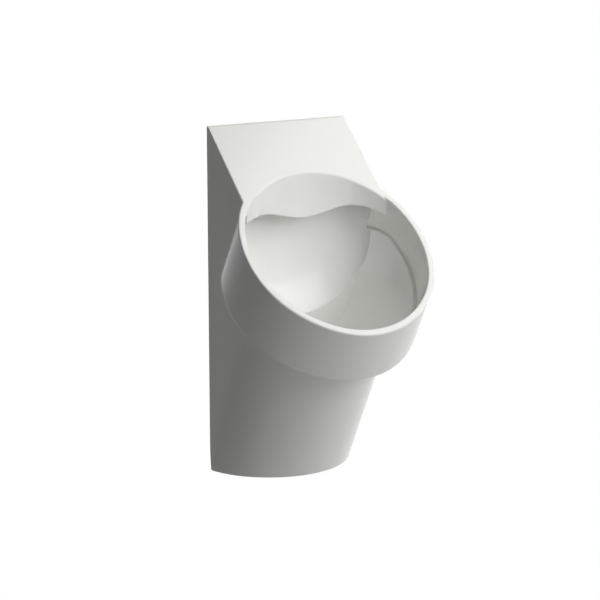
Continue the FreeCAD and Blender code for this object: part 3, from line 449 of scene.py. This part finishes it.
def stay_off_wall(shape):
    """Bring back to the wall plane what the top edge's rounding pushed past it."""
    for v in shape.verts:
        v.co.y = min(v.co.y, 0.0)
    top_corners = [v for v in shape.verts
                   if v.co.y > -ON_PLANE and v.co.z > BODY_HEIGHT - 2 * ON_PLANE]
    bmesh.ops.remove_doubles(shape, verts=top_corners, dist=ON_PLANE)
    bmesh.ops.dissolve_degenerate(shape, dist=SAME_POINT, edges=shape.edges)


def outer_corners(shape, picked):
    """The convex edges of a closed shape that a rule picks."""
    return [e for e in shape.edges if len(e.link_faces) == 2 and e.is_convex
            and e.calc_face_angle() > CORNER_OVER and picked(e)]


def rounded_ceramic(name, rounds):
    """A copy of the ceramic body in which each rule's edges are rounded by its radius."""
    shape = bmesh.new()
    shape.from_mesh(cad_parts["ceramic_body"].data)
    bmesh.ops.remove_doubles(shape, verts=shape.verts, dist=SAME_POINT)
    fair_shield_end(shape)
    bmesh.ops.dissolve_limit(shape, angle_limit=FLAT_UNDER, verts=shape.verts,
                             edges=shape.edges)
    for picked, radius, segments in rounds:
        loop = {v for e in outer_corners(shape, picked) for v in e.verts}
        bmesh.ops.remove_doubles(shape, verts=list(loop), dist=radius * MERGED_SHARE)
        bmesh.ops.bevel(shape, geom=outer_corners(shape, picked), offset=radius,
                        offset_type="OFFSET", segments=segments, profile=0.5,
                        affect="EDGES", clamp_overlap=False)
    stay_off_wall(shape)
    for edge in shape.edges:
        edge.smooth = len(edge.link_faces) == 2 and edge.calc_face_angle() < SMOOTH_UNDER
    for face in shape.faces:
        face.smooth = True
    mesh = bpy.data.meshes.new(name)
    shape.to_mesh(mesh)
    shape.free()
    piece = bpy.data.objects.new(name, mesh)
    bpy.context.scene.collection.objects.link(piece)
    even = piece.modifiers.new("even_shading", "WEIGHTED_NORMAL")
    even.keep_sharp = True
    return piece


# ---- pieces ---------------------------------------------------------------------------------
class URINAL_OT_ceramic(bpy.types.Operator):
    """Glaze the ceramic body"""
    bl_idname = "urinal.ceramic"
    bl_label = "Glazed body"

    def execute(self, context):
        settings = context.scene.urinal_glaze
        body = rounded_ceramic("glazed_body", (
            (in_sloping_face, settings.rim_round, RIM_SEGMENTS),
            (under_hoop_or_skirt, settings.foot_round, FOOT_SEGMENTS),
            (along_wave, settings.wave_round, WAVE_SEGMENTS)))
        body.data.materials.append(glaze(settings))
        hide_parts("ceramic_body")
        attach(body, "urinal")
        return {"FINISHED"}


class URINAL_OT_brackets(bpy.types.Operator):
    """Finish the two hanging brackets, their liners and the control box"""
    bl_idname = "urinal.brackets"
    bl_label = "Brackets and control box"

    def execute(self, context):
        settings = context.scene.urinal_fittings
        finish_nodes(zinc(settings), ["hanging_brackets"])
        finish_nodes(moulded("grey_plastic", settings.grey, roughness=0.48),
                     ["bracket_liners", "control_box", "control_lid"])
        return {"FINISHED"}


class URINAL_OT_drain(bpy.types.Operator):
    """Finish the drain flange, strainer, trap and outlet, and all rubber and black plastic"""
    bl_idname = "urinal.drain"
    bl_label = "Drain, trap and outlet"

    def execute(self, context):
        settings = context.scene.urinal_fittings
        finish_nodes(chrome(), ["drain_flange", "drain_strainer"])
        finish_nodes(moulded("white_plastic", settings.white, roughness=0.3),
                     ["trap_cup", "trap_insert", "outlet_nut", "outlet_pipe"])
        finish_nodes(rubber(), ["seat_seal", "collar_gasket", "insert_oring", "outlet_gasket",
                                "nozzle_gasket", "box_pad"])
        finish_nodes(moulded("black_plastic", BLACK_PLASTIC, roughness=0.42),
                     ["trap_sensor", "valve_coil"])
        return {"FINISHED"}


class URINAL_OT_supply(bpy.types.Operator):
    """Finish the stop valve, riser, nozzle and their nuts"""
    bl_idname = "urinal.supply"
    bl_label = "Water supply"

    def execute(self, context):
        settings = context.scene.urinal_fittings
        finish_nodes(turned_metal("brass_fittings", settings.brass, 0.24, BRASS_FILM), [
            "flush_nozzle", "nozzle_nut", "riser_fitting", "compression_nuts", "valve_body",
            "stop_valve_body", "stop_gland_nut", "stop_spindle"])
        finish_nodes(turned_metal("copper_pipe", settings.copper, 0.22, COPPER_FILM, "Z"), [
            "riser_pipe", "supply_tail"])
        finish_nodes(fibre(), ["nozzle_washer"])
        return {"FINISHED"}


class URINAL_OT_flush_valve(bpy.types.Operator):
    """Finish the flush valve's core and the control's cells and screws"""
    bl_idname = "urinal.flush_valve"
    bl_label = "Flush valve and control"

    def execute(self, context):
        finish_nodes(turned_metal("stainless", STAINLESS, 0.2, STAINLESS_FILM), [
            "valve_core_tube", "coil_nut", "valve_plunger", "plunger_spring", "lid_screws"])
        finish_nodes(battery_film(), ["battery_pack"])
        return {"FINISHED"}


# ---- stage ----------------------------------------------------------------------------------
WHITE = (1.0, 1.0, 1.0)
FLOOR_COLOUR, FLOOR_ROUGHNESS = (0.8, 0.8, 0.8), 0.8
FLOOR_REACH = 30.0
LIT_POINT = Vector((0.0, -0.12, 0.36))
SOFTBOX_SIDE = SOFTBOX_DISTANCE = 2.4
SOFTBOX_DIRECTIONS = {"key": (0.56, -0.6, 0.6), "front": (0.3, -0.95, 0.1),
                      "top": (0.12, -0.3, 0.94), "rear": (0.75, 0.75, 0.2)}
CAMERA_TARGET = Vector((0.0521097, 0.0, 0.2994900))
CAMERA_RISE = 0.2064163         # sine of the angle at which the camera looks down
SENSOR_WIDTH = 36.0             # in millimetres, as Blender has it
CAMERA_SEES_TO = 200.0


def aimed(place, target):
    """A transform at place that looks at target, upright."""
    back = (Vector(place) - Vector(target)).normalized()
    right = Vector((0, 0, 1)).cross(back).normalized()
    up = back.cross(right)
    turn = Matrix((right, up, back)).transposed().to_4x4()
    return Matrix.Translation(place) @ turn


def show_white(tree, kind, plain, output):
    """Send on an even white to the camera, gloss and glass, and the plain shader to the rest."""
    white = tree.node(kind, None, {"Color": WHITE, "Strength": 1.0}).out()
    path = tree.node("ShaderNodeLightPath")
    seen = path.out("Is Camera Ray").either(path.out("Is Glossy Ray"))
    seen = seen.either(path.out("Is Transmission Ray"))
    mixed = tree.node("ShaderNodeMixShader", None,
                      {0: seen, 1: Socket(tree, plain.outputs[0]), 2: white}).out()
    tree.fill(tree.ready(output).inputs[0], mixed)


def lay_floor(height):
    """A wide pale floor that keeps the object's shadow."""
    mesh = bpy.data.meshes.new("floor")
    far = FLOOR_REACH
    mesh.from_pydata([(-far, -far, height), (far, -far, height), (far, far, height),
                      (-far, far, height)], [], [(0, 1, 2, 3)])
    floor = bpy.data.objects.new("floor", mesh)
    bpy.context.scene.collection.objects.link(floor)
    paint = Paint("pale_floor", Roughness=FLOOR_ROUGHNESS)
    paint.set("Base Color", FLOOR_COLOUR)
    show_white(paint, "ShaderNodeEmission", paint.shader, "Material Output")
    mesh.materials.append(paint.material)


def light_from_all_round(strength):
    """An even, weak light, which shows as white."""
    world = bpy.data.worlds.new("studio")
    bpy.context.scene.world = world
    tree = Tree(world)
    even = tree.ready("Background")
    tree.fill(even.inputs["Color"], WHITE)
    tree.fill(even.inputs["Strength"], strength)
    show_white(tree, "ShaderNodeBackground", even, "World Output")


def hang_softbox(name, power, direction):
    """A square soft light that faces the bowl."""
    light = bpy.data.lights.new(name, "AREA")
    light.shape = "RECTANGLE"
    light.size = light.size_y = SOFTBOX_SIDE
    light.energy = power
    lamp = bpy.data.objects.new(name, light)
    bpy.context.scene.collection.objects.link(lamp)
    place = LIT_POINT + Vector(direction).normalized() * SOFTBOX_DISTANCE
    lamp.matrix_world = aimed(place, LIT_POINT)


def place_camera(settings):
    """The camera at the photograph's angle."""
    elevation = math.asin(CAMERA_RISE)
    flat = settings.distance * math.cos(elevation)
    place = CAMERA_TARGET + Vector((-flat * math.sin(settings.azimuth),
                                    -flat * math.cos(settings.azimuth),
                                    settings.distance * math.sin(elevation)))
    view = bpy.data.cameras.new("photo_view")
    view.lens = settings.lens
    view.sensor_width = SENSOR_WIDTH
    view.sensor_fit = "HORIZONTAL"
    view.clip_end = CAMERA_SEES_TO
    camera = bpy.data.objects.new("photo_view", view)
    bpy.context.scene.collection.objects.link(camera)
    camera.matrix_world = aimed(place, CAMERA_TARGET)
    bpy.context.scene.camera = camera


class URINAL_OT_stage(bpy.types.Operator):
    """Set the floor, the soft studio light and the camera"""
    bl_idname = "urinal.stage"
    bl_label = "Studio"

    def execute(self, context):
        settings = context.scene.urinal_stage
        lay_floor(settings.floor)
        light_from_all_round(settings.fill)
        for name, direction in SOFTBOX_DIRECTIONS.items():
            hang_softbox(name + "_softbox", getattr(settings, name), direction)
        place_camera(settings)
        context.scene.view_settings.view_transform = "Standard"
        return {"FINISHED"}


# ---- add-on ---------------------------------------------------------------------------------
STEPS = (URINAL_OT_stage, URINAL_OT_ceramic, URINAL_OT_brackets, URINAL_OT_drain,
         URINAL_OT_supply, URINAL_OT_flush_valve)
GROUPS = (("urinal_glaze", GlazeSettings), ("urinal_fittings", FittingSettings),
          ("urinal_stage", StageSettings))


class URINAL_PT_panel(bpy.types.Panel):
    """Lists the steps and the settings"""
    bl_idname = "URINAL_PT_panel"
    bl_label = "Wall hung urinal"
    bl_space_type = "VIEW_3D"
    bl_region_type = "UI"
    bl_category = "Urinal"

    def draw(self, context):
        for step in STEPS:
            self.layout.operator(step.bl_idname)
        for name, kind in GROUPS:
            for setting in kind.__annotations__:
                self.layout.prop(getattr(context.scene, name), setting)


def register():
    for name, group in GROUPS:
        bpy.utils.register_class(group)
        setattr(bpy.types.Scene, name, PointerProperty(type=group))
    for kind in STEPS + (URINAL_PT_panel,):
        bpy.utils.register_class(kind)


def unregister():
    for kind in (URINAL_PT_panel,) + STEPS[::-1]:
        bpy.utils.unregister_class(kind)
    for name, group in GROUPS[::-1]:
        delattr(bpy.types.Scene, name)
        bpy.utils.unregister_class(group)


def main():
    register()
    steps = bpy.ops.urinal
    steps.stage()
    steps.ceramic()
    steps.brackets()
    steps.drain()
    steps.supply()
    steps.flush_valve()


if __name__ == "__main__":
    main()
